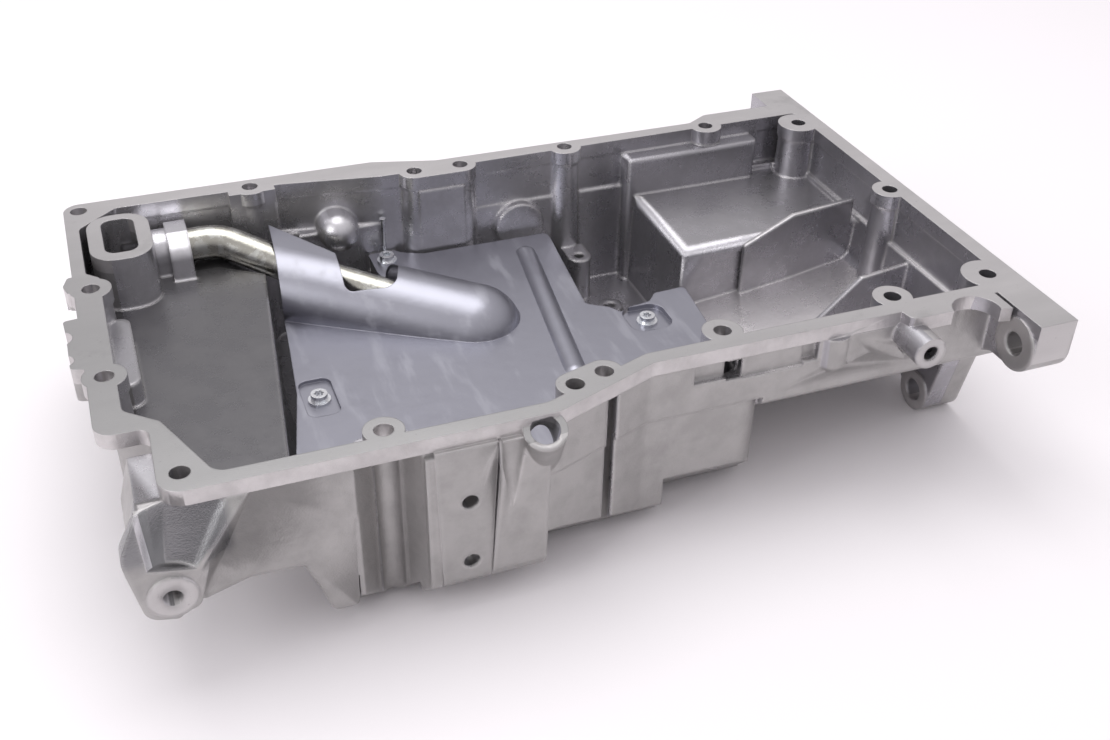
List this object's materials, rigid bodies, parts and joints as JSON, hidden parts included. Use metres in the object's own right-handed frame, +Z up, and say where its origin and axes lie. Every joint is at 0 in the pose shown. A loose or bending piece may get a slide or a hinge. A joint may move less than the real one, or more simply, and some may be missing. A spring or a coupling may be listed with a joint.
{
  "type": "engine oil pan",
  "caption": "Cast aluminium engine oil pan with a bolted rail, shallow shelf, deep sump with a baffle plate and pickup tube, sloping trough and a bell housing flange.",
  "frame": {"origin": "centre of the round rest pad under the sump, at the height that the pan rests on, in the crankshaft's upright plane", "axes": "+X along the crankshaft towards the bell housing, +Y across the engine towards the side of the oil port, +Z up to the block"},
  "size_m": [0.4745, 0.3062, 0.106],
  "materials": {
    "cast_aluminium": "as cast, machined faces bright",
    "baffle_sheet": "satin",
    "zinc_screws": "bright zinc",
    "tube_plating": "yellowish plated",
    "black_rubber": "matt",
    "screen_wire": "plain"
  },
  "bodies": {
    "root": {"pan_casting": "cast_aluminium", "baffle_plate": "baffle_sheet", "left_baffle_screw": "zinc_screws", "right_baffle_screw": "zinc_screws", "back_baffle_screw": "zinc_screws", "locating_pin": "zinc_screws", "pickup_tube": "tube_plating", "tube_seal": "black_rubber", "pickup_bell": "tube_plating", "strainer_screen": "screen_wire", "drain_plug": "zinc_screws", "drain_washer": "cast_aluminium"}
  },
  "joints": []
}
